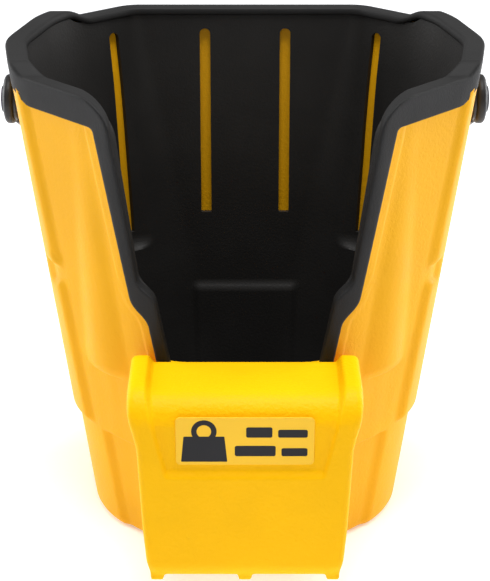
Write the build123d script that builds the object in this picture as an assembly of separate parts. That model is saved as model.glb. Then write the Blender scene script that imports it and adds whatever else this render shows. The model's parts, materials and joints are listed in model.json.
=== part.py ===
"""Hanging tool bucket: a tapered two-layer bucket with a rim guard, a front rail hook and a bail handle.

Millimetres. X runs to the right, Y to the back (the hook faces -Y), Z up.
The origin is the centre of the base, on the surface the bucket stands on.
"""
from build123d import *
from math import cos, sin, tan, acos, radians, hypot
import os

os.makedirs("parts", exist_ok=True)

# ---- bucket body -----------------------------------------------------------------------------
RIM_Z = 233.0              # height of the rim at the back and the front
RIM_HUMP = 5.0             # how far the two sides of the rim stand above that
HUMP_FRONT_Y, HUMP_BACK_Y = -37.0, 56.0
HUMP_RAMP = 11.0           # length of the slope at each end of a raised side
# Each wall of the right half, from back to front: the direction it faces (degrees, 90 is the back),
# its distance from the axis at the base and at the rim, and the corner radius that follows it.
WALLS = [
    # faces, base, rim, corner radius at base, at rim
    (90.0, 75.5, 83.5, 62.0, 17.0),
    (50.0, 76.5, 102.8, 62.0, 55.0),
    (13.0, 77.5, 107.4, 66.0, 50.0),
    (-9.5, 78.3, 108.7, 66.0, 25.0),
    (-45.0, 78.0, 101.5, 66.0, 26.0),
    (-90.0, 77.0, 90.0, 0.0, 0.0),
]
SHELL_T = 3.0              # outer shell wall
LAYER_GAP = 0.3            # air between shell and liner
LINER_T = 2.5              # inner liner wall
LINER_OUT = -(SHELL_T + LAYER_GAP)
LINER_IN = LINER_OUT - LINER_T
BASE_ROUND = 5.0           # rounding of the shell's bottom edge
SIDE_PAD = 2.6             # raised pad on each side wall
SIDE_PAD_Y = (-42.0, 52.0)
SIDE_PAD_Z = (57.0, 223.5)
PAD_NOTCH = (129.0, 141.0, 9.0)      # notch in the pad's front edge: from, to, depth
FRONT_STEP_Z = 55.0        # the front steps in below this height
FRONT_STEP = 1.2
FRONT_STEP_Y = -50.0
SLOT_W = 5.5               # vertical slots through the liner
MID_SLOT_X, MID_SLOT_Z = 20.8, (121.5, 222.0)
CORNER_SLOT_AZ, CORNER_SLOT_Z = 44.5, (114.0, 222.0)
# Corner columns: azimuth, foot height, bulge past the wall at the foot, height where it fades, radius
BACK_COLUMN = (44.5, 100.0, 5.0, 200.0, 18.0)
FRONT_COLUMN = (-42.0, 91.0, 4.5, 200.0, 28.0)
COLUMN_TOP_Z = RIM_Z - 15.0
COLUMN_FOOT_ROUND = 6.0

# ---- front opening and rim guard -------------------------------------------------------------
# Right edge of the V-shaped opening, top to bottom: x, z, corner radius
OPENING = [(59.5, RIM_Z, 13.0), (47.6, 147.0, 5.0), (40.2, 141.0, 5.0), (34.0, 104.5, 0.0)]
OPENING_WIDEST = 130.0     # past the rim's corner, the opening's outline runs level to here
JOG_DROP = 0.9             # how far the outline's jog moves down for each mm the outline is widened
CREST_NOTCH_HALF, CREST_NOTCH_Z = 42.0, 99.0     # notch in the front wall that the hook's crest fills
OPENING_BACK_Y = -45.0     # the opening cuts only the front wall
GUARD_OUT, GUARD_IN = 1.6, LINER_IN - 1.2
GUARD_HUMP_OUT = 2.9
GUARD_CAP = 2.5            # guard material past the edge of the wall
APRON = 14.0               # how far the guard reaches down the wall from the rim
TRIM = 8.0                 # how far it reaches across the wall from the opening
LIP = 4.0                  # how far it reaches inside the liner

# ---- front hook ------------------------------------------------------------------------------
CREST_Z = 104.5
HOOK_T = 3.2               # thickness at the label recess
LEG_Y = -128.5             # outer face of the leg's raised border
RECESS_D = 1.8             # depth of the recess, which runs over the strap between two side ribs
STRAP_Z = 110.0            # top of the strap between its ribs, in front of the wall
STRAP_BACK_Y = -83.3       # the strap reaches back to here above the wall's edge
RIB_RISE = 3.5             # how far the side ribs stand above the strap
LEG_FOOT_Z = 22.0
HOOK_HALF = [(52.2, 116.0), (51.8, 104.0), (48.0, 88.0), (45.7, 46.0), (43.7, 27.4), (42.0, LEG_FOOT_Z)]
HOOK_SIDE_ROUND, HOOK_FOOT_ROUND = 12.0, 2.0
CREST_ROUND = 15.0
CREST_BACK_Y = -60.0       # the strap is drawn back to here, then cut away inside the bucket's wall
FLANGE_T = 2.5             # inner and outer flanges that straddle the bucket's front wall
FLANGE_HALF, FLANGE_FOOT_Z = 38.0, 68.0
RECESS_HALF = [(43.6, 116.0), (40.0, 97.0), (35.2, 76.0)]
RECESS_CORNER = 3.0
TAB_W, TAB_X, TAB_DROP = 6.0, (-40.0, 0.0, 40.0), 3.0
TAB_RISE, TAB_PROUD = 14.0, 1.5      # how far each tab runs up the leg's inner face, and stands off it
LABEL_W, LABEL_H, LABEL_Z, LABEL_T, LABEL_R = 61.0, 23.5, 91.8, 0.4, 2.0
RIVET_X, RIVET_Z, RIVET_R = 11.0, (76.0, 92.0), 2.4
RIVET_HEAD_R, RIVET_HEAD_T = 5.0, 1.4
RIVET_TAIL_R, RIVET_TAIL_T = 4.0, 0.7

# ---- bail handle -----------------------------------------------------------------------------
PIVOT_Y, PIVOT_Z = 8.0, 206.0
BOSS_X, BOSS_R = 110.0, 13.0         # flat outer boss on the shell's side
LINER_BOSS_X, LINER_BOSS_R = 95.6, 10.0
HUB_IN, HUB_OUT, HUB_R = 111.0, 116.4, 11.9
ARM_T, ARM_W = 2.2, 16.0
BAIL_R, BAIL_BEND = 92.0, 30.0
BAIL_REST = -24.0          # angle of the folded handle, measured from +Y
GRIP_HALF, GRIP_T, GRIP_W = 48.0, 11.0, 20.0
PIN_R, PIN_HEAD_R, PIN_HEAD_T, PIN_IN_X = 4.0, 6.4, 1.8, 92.6
RUN = 0.05                 # radial running clearance of the pivot
WASHER_R, RETAINER_R, RETAINER_T = 10.0, 8.5, 2.4
PIN_HEAD_EDGE, RETAINER_EDGE, HUB_EDGE = 0.7, 0.8, 1.2
GRIP_CORNER = 5.0

# ---- fixings of liner to shell ----------------------------------------------------------------
FLOOR_RIVET_C, FLOOR_RIVET_R = 38.0, 2.5
FLOOR_HEAD_R, FLOOR_HEAD_T = 5.5, 1.5
FLOOR_TAIL_R, FLOOR_TAIL_T = 4.5, 1.2
FLOOR_TAIL_LIFT = 0.2      # the tails stay clear of what the bucket stands on

FAR = 400.0
TOUCH = 0.1                # tolerance for picking edges by their place


def rounded_edges(points):
    """Closed outline through (x, y, radius) corners: straight runs joined by tangent arcs."""
    edges, starts, ends = [], [], []
    arcs = []
    count = len(points)
    for i, (x, y, radius) in enumerate(points):
        before, after = points[i - 1], points[(i + 1) % count]
        ux, uy = before[0] - x, before[1] - y
        vx, vy = after[0] - x, after[1] - y
        run_in, run_out = hypot(ux, uy), hypot(vx, vy)
        ux, uy, vx, vy = ux / run_in, uy / run_in, vx / run_out, vy / run_out
        half = acos(max(-1.0, min(1.0, ux * vx + uy * vy))) / 2
        reach = min(radius / tan(half), 0.485 * run_in, 0.485 * run_out) if radius else 0.0
        starts.append((x + ux * reach, y + uy * reach))
        ends.append((x + vx * reach, y + vy * reach))
        if reach:
            bx, by = ux + vx, uy + vy
            size = hypot(bx, by)
            middle = reach * tan(half) / sin(half) - reach * tan(half)
            arcs.append((x + bx / size * middle, y + by / size * middle))
        else:
            arcs.append(None)
    for i in range(count):
        if arcs[i]:
            edges.append(Edge.make_three_point_arc(Vector(*starts[i]), Vector(*arcs[i]), Vector(*ends[i])))
        edges.append(Edge.make_line(Vector(*ends[i]), Vector(*starts[(i + 1) % count])))
    return edges


def rounded_face(points):
    return Face(Wire(rounded_edges(points)))


def body_outline(z, offset):
    """Corners (x, y, radius) of the bucket at height z, moved outward by offset."""
    share = z / RIM_Z
    right = [(a, b + (r - b) * share + offset, rb + (rr - rb) * share + offset)
             for a, b, r, rb, rr in WALLS]
    ring = [(a, d) for a, d, _ in right] + [(180.0 - a, d) for a, d, _ in right[-2:0:-1]]
    radii = [r for _, _, r in right[:-1]]
    radii += radii[::-1]
    corners = []
    for i, radius in enumerate(radii):
        (a0, d0), (a1, d1) = ring[i], ring[(i + 1) % len(ring)]
        c0, s0, c1, s1 = cos(radians(a0)), sin(radians(a0)), cos(radians(a1)), sin(radians(a1))
        det = c0 * s1 - c1 * s0
        corners.append(((d0 * s1 - d1 * s0) / det, (c0 * d1 - c1 * d0) / det, radius))
    return corners


def body(offset, z0=0.0, z1=RIM_Z + 30.0):
    """Solid tapered bucket form between two heights, its walls moved outward by offset."""
    sections = [Pos(0, 0, z) * rounded_face(body_outline(z, offset)) for z in (z0, z1)]
    return Solid.make_loft([s.outer_wire() for s in sections], ruled=True)


def block(x, y, z):
    """Box from three (low, high) spans."""
    return Pos((x[0] + x[1]) / 2, (y[0] + y[1]) / 2, (z[0] + z[1]) / 2) * Box(
        x[1] - x[0], y[1] - y[0], z[1] - z[0])


def wall_distance(azimuth, z):
    """Distance of the shell's outer face from the axis, along an azimuth."""
    share = z / RIM_Z
    return min((b + (r - b) * share) / cos(radians(azimuth - a))
               for a, b, r, _, _ in WALLS if abs(azimuth - a) < 80)


def column(side, spec, offset):
    """Tapered corner column that grows out of the wall below fade_z; side is 1 or -1 in X."""
    azimuth, foot_z, bulge, fade_z, radius = spec
    outer = {foot_z: wall_distance(azimuth, foot_z) + bulge, fade_z: wall_distance(azimuth, fade_z)}
    slope = (outer[fade_z] - outer[foot_z]) / (fade_z - foot_z)
    wires = []
    for z in (foot_z - offset, COLUMN_TOP_Z):
        centre = outer[foot_z] + slope * (z - foot_z) - radius
        x, y = side * centre * cos(radians(azimuth)), centre * sin(radians(azimuth))
        wires.append((Pos(x, y, z) * Circle(radius + offset)).wire())
    solid = Solid.make_loft(wires, ruled=True)
    foot = [e for e in solid.edges() if e.center().Z < foot_z - offset + TOUCH and e.length > radius]
    return solid.fillet(COLUMN_FOOT_ROUND, foot)


def columns(offset):
    return [column(side, spec, offset) for side in (1, -1) for spec in (BACK_COLUMN, FRONT_COLUMN)]


def side_pads(offset):
    """Raised pads on the two side walls, with a notch in the front edge of each."""
    y0, y1 = SIDE_PAD_Y
    keep = block((-FAR, FAR), (y0, y1), SIDE_PAD_Z)
    keep -= block((-FAR, FAR), (y0, y0 + PAD_NOTCH[2]), PAD_NOTCH[:2])
    return body(offset) & keep


def above_rim(drop):
    """Everything above the rim line, which is raised along the two sides; drop lowers it."""
    low, high = RIM_Z - drop, RIM_Z + RIM_HUMP - drop
    line = [(-FAR, low), (HUMP_FRONT_Y - HUMP_RAMP / 2, low), (HUMP_FRONT_Y + HUMP_RAMP / 2, high),
            (HUMP_BACK_Y - HUMP_RAMP / 2, high), (HUMP_BACK_Y + HUMP_RAMP / 2, low), (FAR, low),
            (FAR, FAR), (-FAR, FAR)]
    face = Plane.YZ * Face(Wire.make_polygon([Vector(y, z) for y, z in line]))
    return extrude(face, amount=FAR, both=True)


def front_opening(grow, top_drop):
    """Prism of the front opening, widened by grow at each side and rounded into the rim."""
    (top_x, top_z, top_r), *jog, (foot_x, foot_z, _) = OPENING
    right = [(top_x + grow, top_z - top_drop, top_r + grow)]
    right += [(x + grow, z - grow * JOG_DROP, r) for x, z, r in jog]
    right.append((foot_x + grow, foot_z, 0.0))
    upper = [(OPENING_WIDEST, FAR, 0.0), (OPENING_WIDEST, RIM_Z - top_drop, 0.0)]
    outline = upper + right
    outline += [(-x, z, r) for x, z, r in outline[::-1]]
    face = Plane.XZ * rounded_face(outline)
    return extrude(face, amount=FAR, dir=(0, -1, 0)) & block((-FAR, FAR), (-FAR, OPENING_BACK_Y), (0, FAR))


def trimmed(solid, inset):
    """A wall cut back from the rim and the front opening by inset."""
    solid -= above_rim(inset)
    solid -= block((-CREST_NOTCH_HALF, CREST_NOTCH_HALF), (-FAR, OPENING_BACK_Y), (CREST_NOTCH_Z, CREST_Z))
    return solid - front_opening(inset, inset)


def rivet_place(x, z):
    """Frame on the shell's outer front face, its Z along the face's outward normal."""
    share = z / RIM_Z
    _, base, rim, _, _ = WALLS[-1]
    lean = (rim - base) / RIM_Z
    return Location(Plane(origin=(x, -(base + (rim - base) * share), z), x_dir=(1, 0, 0),
                          z_dir=(0, -1, -lean)))


def rivet_places():
    return [rivet_place(side * RIVET_X, z) for side in (1, -1) for z in RIVET_Z]


def hook_bores(radius):
    """Cylinders across the front wall on the four rivet axes."""
    return [place * Cylinder(radius, 40.0) for place in rivet_places()]


def pivot_cylinder(side, radius, x0, x1):
    """Cylinder on the handle's axis between two distances from the middle plane."""
    return Pos(side * (x0 + x1) / 2, PIVOT_Y, PIVOT_Z) * Rot(0, 90, 0) * Cylinder(radius, x1 - x0)


def floor_cylinders(radius, z0, z1):
    """Four cylinders on the floor rivets' axes."""
    return [Pos(sx * FLOOR_RIVET_C, sy * FLOOR_RIVET_C, (z0 + z1) / 2) * Cylinder(radius, z1 - z0)
            for sx in (1, -1) for sy in (1, -1)]


def outer_shell():
    outer = body(0.0)
    foot = [e for e in outer.edges() if e.center().Z < TOUCH]
    outer = outer.fillet(BASE_ROUND, foot)
    outer = outer + columns(0.0) + side_pads(SIDE_PAD)
    step = body(SIDE_PAD) - body(-FRONT_STEP)
    outer -= step & block((-FAR, FAR), (-FAR, FRONT_STEP_Y), (-1, FRONT_STEP_Z))
    inner = body(-SHELL_T, SHELL_T) + columns(-SHELL_T)
    wall = trimmed(outer - inner, GUARD_CAP)
    for side in (1, -1):
        reach = (LINER_BOSS_X + LINER_T, BOSS_X)
        boss = pivot_cylinder(side, BOSS_R, *reach) - inner
        wall = wall + boss - pivot_cylinder(side, PIN_R, LINER_BOSS_X - 20, HUB_OUT)
        wall -= pivot_cylinder(side, BOSS_R, BOSS_X, HUB_OUT)
    wall -= hook_bores(RIVET_R)
    wall -= floor_cylinders(FLOOR_RIVET_R, -1, 10)
    return wall - floor_cylinders(FLOOR_TAIL_R, -1, FLOOR_TAIL_T)


def liner_slots():
    """Round-topped vertical slots: two in the back wall and one in each back corner."""
    z0, z1 = MID_SLOT_Z
    radius = SLOT_W / 2
    cuts = []
    for x in (MID_SLOT_X, -MID_SLOT_X):
        cuts.append(block((x - radius, x + radius), (0, FAR), (z0, z1 - radius)))
        cuts.append(Pos(x, FAR / 2, z1 - radius) * Rot(90, 0, 0) * Cylinder(radius, FAR))
    z0, z1 = CORNER_SLOT_Z
    for azimuth in (CORNER_SLOT_AZ, 180 - CORNER_SLOT_AZ):
        turn = Rot(0, 0, azimuth)
        cuts.append(turn * block((0, FAR), (-radius, radius), (z0, z1 - radius)))
        cuts.append(turn * Pos(FAR / 2, 0, z1 - radius) * Rot(0, 90, 0) * Cylinder(radius, FAR))
    return cuts


def inner_liner():
    outer = body(LINER_OUT, SHELL_T + LAYER_GAP) + columns(LINER_OUT)
    inner = body(LINER_IN, SHELL_T + LAYER_GAP + LINER_T) + columns(LINER_IN)
    wall = trimmed(outer - inner, GUARD_CAP) - liner_slots()
    for side in (1, -1):
        boss = pivot_cylinder(side, LINER_BOSS_R, LINER_BOSS_X, LINER_BOSS_X + 8) & outer
        wall = wall + boss - pivot_cylinder(side, PIN_R, LINER_BOSS_X - 20, HUB_OUT)
    wall -= hook_bores(RIVET_R)
    return wall - floor_cylinders(FLOOR_RIVET_R, 0, 10)


def rim_guard(shell, liner):
    """Channel that covers the top edges of both layers and both sides of the front opening."""
    hump_zone = block((-FAR, FAR), (HUMP_FRONT_Y - 1, HUMP_BACK_Y + 1), (0, FAR))
    blank = body(GUARD_OUT) + (body(GUARD_HUMP_OUT) & hump_zone)
    blank -= body(GUARD_IN)
    band = above_rim(APRON) + front_opening(TRIM, APRON)
    lip_band = above_rim(LIP) + front_opening(LIP, LIP)
    guard = (blank & band) - (body(LINER_IN) - lip_band) - above_rim(0.0) - front_opening(0.0, 0.0)
    guard -= block((-FAR, FAR), (-FAR, 0), (0, CREST_Z))
    return guard - shell - liner


def hook_outline():
    """Front view of the hook, (x, z, radius)."""
    right = [(x, z, HOOK_SIDE_ROUND) for x, z in HOOK_HALF]
    right[0] = (*HOOK_HALF[0], 0.0)
    right[-1] = (*HOOK_HALF[-1], HOOK_FOOT_ROUND)
    return right + [(-x, z, r) for x, z, r in right[::-1]]


def hook_form(depth, top_z):
    """Solid under a crest at top_z, with a rounded front and the leg's face sunk by depth."""
    y, z, r = LEG_Y + depth, top_z, CREST_ROUND - depth
    side = rounded_face([(CREST_BACK_Y, z, 0), (y, z, r), (y, 0, 0), (CREST_BACK_Y, 0, 0)])
    return extrude(Plane.YZ * side, amount=FAR, both=True)


def front_hook(guard):
    silhouette = extrude(Plane.XZ * rounded_face(hook_outline()), amount=FAR, both=True)
    ribs, floor = hook_form(0.0, STRAP_Z + RIB_RISE), hook_form(RECESS_D, STRAP_Z)
    strap = ribs - hook_form(RECESS_D + HOOK_T, CREST_Z - HOOK_T)
    strap = strap & silhouette & block((-FAR, FAR), (-FAR, CREST_BACK_Y), (LEG_FOOT_Z, FAR))
    strap -= block((-FAR, FAR), (STRAP_BACK_Y, 0), (CREST_Z, FAR))
    # the recess over the strap and down to the foot of the label, between the side ribs
    edge = [(x, z, 0) for x, z in RECESS_HALF]
    edge[-1] = (*RECESS_HALF[-1], RECESS_CORNER)
    outline = rounded_face(edge + [(-x, z, r) for x, z, r in edge[::-1]])
    strap -= (ribs - floor) & extrude(Plane.XZ * outline, amount=FAR, both=True)
    # the crest fills the notch in the front wall; past the notch it stays outside the shell
    notch = block((-CREST_NOTCH_HALF, CREST_NOTCH_HALF), (-FAR, 0), (CREST_NOTCH_Z, CREST_Z))
    crest = (notch & body(0.0)) - body(GUARD_IN - FLANGE_T)
    hook = (strap - body(0.0)) + crest
    # flanges on both faces of the front wall
    reach = block((-FLANGE_HALF, FLANGE_HALF), (-FAR, OPENING_BACK_Y), (FLANGE_FOOT_Z, CREST_Z - 1))
    hook += (body(FLANGE_T) - body(0.0)) & reach
    hook += (body(LINER_IN) - body(GUARD_IN - FLANGE_T)) & reach
    # tabs at the leg's foot
    leg_in = LEG_Y + RECESS_D + HOOK_T
    for x in TAB_X:
        hook += block((x - TAB_W / 2, x + TAB_W / 2), (leg_in - HOOK_T, leg_in + TAB_PROUD),
                      (LEG_FOOT_Z - TAB_DROP, LEG_FOOT_Z + TAB_RISE))
    return hook - hook_bores(RIVET_R) - guard


def load_label():
    half_w, half_h = LABEL_W / 2, LABEL_H / 2
    face = rounded_face([(half_w, half_h, LABEL_R), (-half_w, half_h, LABEL_R),
                         (-half_w, -half_h, LABEL_R), (half_w, -half_h, LABEL_R)])
    place = Plane(origin=(0, LEG_Y + RECESS_D, LABEL_Z), x_dir=(1, 0, 0), z_dir=(0, -1, 0))
    return extrude(place * face, amount=LABEL_T)


def hook_rivets():
    """Four rivets that clamp the hook's flanges, the shell and the liner together."""
    out_face, in_face = FLANGE_T, GUARD_IN - FLANGE_T
    shank = out_face - in_face
    rivets = []
    for place in rivet_places():
        solid = Pos(0, 0, (out_face + in_face) / 2) * Cylinder(RIVET_R, shank)
        solid += Pos(0, 0, out_face + RIVET_TAIL_T / 2) * Cylinder(RIVET_TAIL_R, RIVET_TAIL_T)
        head = Pos(0, 0, in_face - RIVET_HEAD_T / 2) * Cylinder(RIVET_HEAD_R, RIVET_HEAD_T)
        rivets.append(place * (solid + head))
    return Compound(rivets)


def floor_rivets():
    """Four push rivets that hold the liner's floor to the shell's floor."""
    floor_top = SHELL_T + LAYER_GAP + LINER_T
    tails = floor_cylinders(FLOOR_TAIL_R, FLOOR_TAIL_LIFT, FLOOR_TAIL_T)
    shanks = floor_cylinders(FLOOR_RIVET_R, FLOOR_TAIL_T, floor_top)
    heads = floor_cylinders(FLOOR_HEAD_R, floor_top, floor_top + FLOOR_HEAD_T)
    return Compound([tail + shank + head for tail, shank, head in zip(tails, shanks, heads)])


def pivot_pin(side):
    head_seat = HUB_OUT - PIN_HEAD_T / 2
    shank = pivot_cylinder(side, PIN_R, PIN_IN_X, head_seat)
    head = pivot_cylinder(side, PIN_HEAD_R, head_seat, head_seat + PIN_HEAD_T)
    rim = [e for e in head.edges() if abs(e.center().X) > head_seat + PIN_HEAD_T / 2]
    return shank + fillet(rim[:1], PIN_HEAD_EDGE)


def pivot_washer(side):
    ring = pivot_cylinder(side, WASHER_R, BOSS_X, HUB_IN)
    return ring - pivot_cylinder(side, PIN_R, BOSS_X - 1, HUB_IN + 1)


def pin_retainer(side):
    cap = pivot_cylinder(side, RETAINER_R, LINER_BOSS_X - RETAINER_T, LINER_BOSS_X)
    edge = [e for e in cap.edges() if abs(abs(e.center().X) - (LINER_BOSS_X - RETAINER_T)) < TOUCH]
    return fillet(edge[:1], RETAINER_EDGE) - pivot_cylinder(side, PIN_R, 0, LINER_BOSS_X + 1)


def folded(shape):
    """Turn something drawn with the bail reaching along +Y about the pivot axis to its folded rest."""
    return Pos(0, PIVOT_Y, PIVOT_Z) * Rot(BAIL_REST, 0, 0) * shape


def bail_band(inset, half_width):
    """U-shaped band in plan, inset from the bail's outer line, extruded across its width."""
    side_x, end_y = HUB_OUT - inset, BAIL_R - inset
    bend = BAIL_BEND - inset
    outline = [(side_x, -40, 0), (side_x, end_y, bend), (-side_x, end_y, bend), (-side_x, -40, 0)]
    return extrude(rounded_face(outline), amount=half_width, both=True)


def bail_handle():
    band = bail_band(0, ARM_W / 2) - bail_band(ARM_T, ARM_W)
    band &= block((-FAR, FAR), (0, FAR), (-FAR, FAR))
    hubs = [Pos(side * (HUB_IN + HUB_OUT) / 2, 0, 0) * Rot(0, 90, 0) * Cylinder(HUB_R, HUB_OUT - HUB_IN)
            for side in (1, -1)]
    hubs = [chamfer([e for e in hub.edges() if abs(e.center().X) > HUB_OUT - TOUCH][:1], HUB_EDGE)
            for hub in hubs]
    handle = folded(band + hubs)
    for side in (1, -1):
        handle -= pivot_cylinder(side, PIN_R + RUN, HUB_IN - 1, HUB_OUT + 1)
        handle -= pivot_cylinder(side, PIN_HEAD_R + RUN, HUB_OUT - PIN_HEAD_T / 2 - RUN, HUB_OUT + 1)
    return handle


def handle_grip():
    middle = BAIL_R - ARM_T / 2
    section = RectangleRounded(GRIP_T, GRIP_W, GRIP_CORNER)
    slot = Rectangle(ARM_T, ARM_W)
    sleeve = extrude(Plane.YZ * Pos(middle, 0) * (section - slot), amount=GRIP_HALF, both=True)
    return folded(sleeve)


def write(name, solid):
    solid.label = name
    export_step(solid, f"parts/{name}.step")


shell = outer_shell()
liner = inner_liner()
write("outer_shell", shell)
write("inner_liner", liner)
guard = rim_guard(shell, liner)
write("rim_guard", guard)
write("front_hook", front_hook(guard))
write("load_label", load_label())
write("hook_rivets", hook_rivets())
write("floor_rivets", floor_rivets())
write("bail_handle", bail_handle())
write("handle_grip", handle_grip())
for tag, side in (("right", 1), ("left", -1)):
    write(f"pivot_pin_{tag}", pivot_pin(side))
    write(f"pivot_washer_{tag}", pivot_washer(side))
    write(f"pin_retainer_{tag}", pin_retainer(side))
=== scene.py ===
import json
from math import cos, hypot, pi, radians, sin, tan

import bpy
import numpy as np
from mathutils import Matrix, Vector


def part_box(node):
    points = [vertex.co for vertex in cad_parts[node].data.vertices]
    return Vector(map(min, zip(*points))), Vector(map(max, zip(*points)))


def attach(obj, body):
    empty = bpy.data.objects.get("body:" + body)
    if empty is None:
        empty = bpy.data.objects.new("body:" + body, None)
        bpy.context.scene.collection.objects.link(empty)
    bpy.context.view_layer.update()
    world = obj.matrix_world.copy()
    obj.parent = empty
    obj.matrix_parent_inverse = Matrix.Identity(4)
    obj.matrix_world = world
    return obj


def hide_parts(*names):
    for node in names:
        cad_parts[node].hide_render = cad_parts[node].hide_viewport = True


# Looks of the hanging tool bucket: shell, liner, rim guard, hook, label, handle and studio.
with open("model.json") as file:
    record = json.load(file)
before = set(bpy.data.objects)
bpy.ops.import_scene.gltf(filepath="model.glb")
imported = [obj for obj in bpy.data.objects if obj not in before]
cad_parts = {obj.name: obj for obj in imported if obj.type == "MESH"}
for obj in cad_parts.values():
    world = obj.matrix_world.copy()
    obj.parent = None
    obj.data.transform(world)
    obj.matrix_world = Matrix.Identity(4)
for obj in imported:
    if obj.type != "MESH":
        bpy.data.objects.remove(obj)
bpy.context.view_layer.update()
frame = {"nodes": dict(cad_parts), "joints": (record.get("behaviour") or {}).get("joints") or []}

MM = 0.001

# ---- sizes, in millimetres, in the part's frame -------------------------------------------------
GUARD_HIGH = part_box("rim_guard")[1] / MM
RIM_HUMP = 5.0
RIM_Z = GUARD_HIGH.z - RIM_HUMP
# the raised sides of the rim, and the length of the slope at each of their ends
HUMP_FRONT_Y, HUMP_BACK_Y, HUMP_RAMP = -41.0, 56.0, 10.0
# Right-hand walls from back to front: direction faced, distance at the base and at the rim,
# corner radius to the next wall at the base and at the rim
WALLS = [
    (90.0, 75.5, 83.5, 62.0, 17.0),
    (50.0, 76.5, 102.8, 62.0, 55.0),
    (13.0, 77.5, 107.4, 66.0, 50.0),
    (-9.5, 78.3, 108.7, 66.0, 25.0),
    (-45.0, 78.0, 101.5, 66.0, 26.0),
    (-90.0, 77.0, 90.0, 0.0, 0.0),
]
# offsets of the liner's faces from the shell's outer face
SHELL_T, LINER_OUT, LINER_IN = 3.0, -3.3, -5.8
BASE_ROUND, FLOOR_ROUND, SHELL_FLOOR_ROUND = 5.0, 6.0, 1.5
# raised pads on the two sides, and the notch in their front edge: foot, top, depth
SIDE_PAD, SIDE_PAD_Y, SIDE_PAD_Z = 2.6, (-42.0, 52.0), (57.0, 223.5)
PAD_NOTCH, PAD_NOTCH_SHARE = (129.0, 141.0, 9.0), 0.85
FRONT_STEP_Z, FRONT_STEP, FRONT_STEP_Y = 55.0, 1.9, -50.0
# how softly the relief rises along the wall
RELIEF_SOFT = 4.0
# flat strip beside the guard's trim on the front
STRIP_GAP, STRIP_RISE, STRIP_BACK_Y, STRIP_FOOT_Z = 3.6, 0.5, -45.0, 106.0
# corner columns: azimuth, foot height, bulge at the foot, fade height, radius
COLUMNS = [(44.5, 100.0, 5.0, 200.0, 18.0), (-42.0, 91.0, 4.5, 200.0, 28.0)]
COLUMN_BLEND, COLUMN_FOOT_ROUND, COLUMN_OUT = 0.9, 7.0, 40.0
# how much higher the columns' feet stand on the faces further in
SHELL_INSET, LINER_BACK_INSET, LINER_INSET = 3.0, 3.3, 5.0
# low step in the liner's back wall
BACK_STEP, BACK_STEP_Z, BACK_STEP_X = 2.2, 79.5, 28.0
SLOT_R = 2.75
MID_SLOT_X, MID_SLOT_Z = 20.8, (121.5, 222.0)
CORNER_SLOT_AZ, CORNER_SLOT_Z = 45.7, (114.0, 222.0)
# how far the guard reaches down outside, past the wall's edge, and down inside
APRON, GUARD_CAP, GUARD_LIP = 14.0, 2.5, 4.0
# half-width of the front opening, and outer edge of its trim, by height
OPENING = [(104.5, 34.0), (141.0, 40.6), (147.0, 48.4), (RIM_Z, 60.5)]
TRIM = [(104.5, 40.2), (128.5, 44.4), (136.0, 52.0), (RIM_Z - APRON, 66.8)]
OPENING_ROUND, OPENING_BLEND = 13.0, 2.5
OPENING_FRONT_Y = -45.0
GUARD_OUT, GUARD_HUMP_OUT, GUARD_IN = 1.6, 2.9, -7.0
# the front wall ends at the crest; a wider notch below it takes the hook's strap
CREST_Z, NOTCH_Z, CREST_NOTCH = 104.5, 99.0, 42.0
STRETCH_Z = 200.0

SOFT_SAMPLES = 7


def smooth(t):
    t = np.clip(t, 0.0, 1.0)
    return t * t * (3.0 - 2.0 * t)


def rise(value, edge, width):
    """0 below edge, 1 above it, over a soft width."""
    return smooth((value - edge) / width + 0.5)


def soft_max(a, b, k):
    """The larger value, with the crease between the two rounded over k."""
    return np.maximum(a, b) + np.maximum(k - np.abs(a - b), 0.0) ** 2 / (4.0 * k)


def soft_min(a, b, k):
    return -soft_max(-a, -b, k)


def softened(points, z, reach):
    """Piecewise-linear function of height, with its corners rounded over reach."""
    zs, ws = zip(*points)
    steps = np.linspace(-reach, reach, SOFT_SAMPLES)
    return sum(np.interp(z + d, zs, ws) for d in steps) / len(steps)


def quarter_round(a, b, r):
    """Distance to a corner of radius r between two faces at distances a and b, inside negative."""
    a, b = a + r, b + r
    return np.minimum(np.maximum(a, b), 0.0) + np.hypot(np.maximum(a, 0.0), np.maximum(b, 0.0)) - r


# ---- the tapered bucket form --------------------------------------------------------------------
ARC_POINTS = 14
# largest share of a wall that one corner's arc may take
ARC_SHARE = 0.485


def half_outline(z):
    """Right half of the outline at height z: x, y and facing angle, from back centre to front centre."""
    share = z / RIM_Z
    walls = [(radians(a), b + (r - b) * share, rb + (rr - rb) * share) for a, b, r, rb, rr in WALLS]
    corners = []
    for (a0, d0, _), (a1, d1, _) in zip(walls, walls[1:]):
        det = cos(a0) * sin(a1) - cos(a1) * sin(a0)
        corners.append(((d0 * sin(a1) - d1 * sin(a0)) / det, (cos(a0) * d1 - cos(a1) * d0) / det))
    ring = [(-corners[0][0], corners[0][1])] + corners + [(-corners[-1][0], corners[-1][1])]
    xs, ys, angles = [0.0], [walls[0][1]], [pi / 2]
    for i, (x, y) in enumerate(corners):
        (a0, _, radius), a1 = walls[i], walls[i + 1][0]
        half_turn = tan((a0 - a1) / 2)
        run_in, run_out = [hypot(x - q[0], y - q[1]) for q in (ring[i], ring[i + 2])]
        radius = min(radius * half_turn, ARC_SHARE * run_in, ARC_SHARE * run_out) / half_turn
        reach = radius * half_turn
        cx, cy = x - sin(a0) * reach - cos(a0) * radius, y + cos(a0) * reach - sin(a0) * radius
        for k in range(ARC_POINTS + 1):
            t = a0 + (a1 - a0) * k / ARC_POINTS
            xs.append(cx + radius * cos(t))
            ys.append(cy + radius * sin(t))
            angles.append(t)
    return np.array(xs + [0.0]), np.array(ys + [-walls[-1][1]]), np.array(angles + [-pi / 2])


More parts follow.
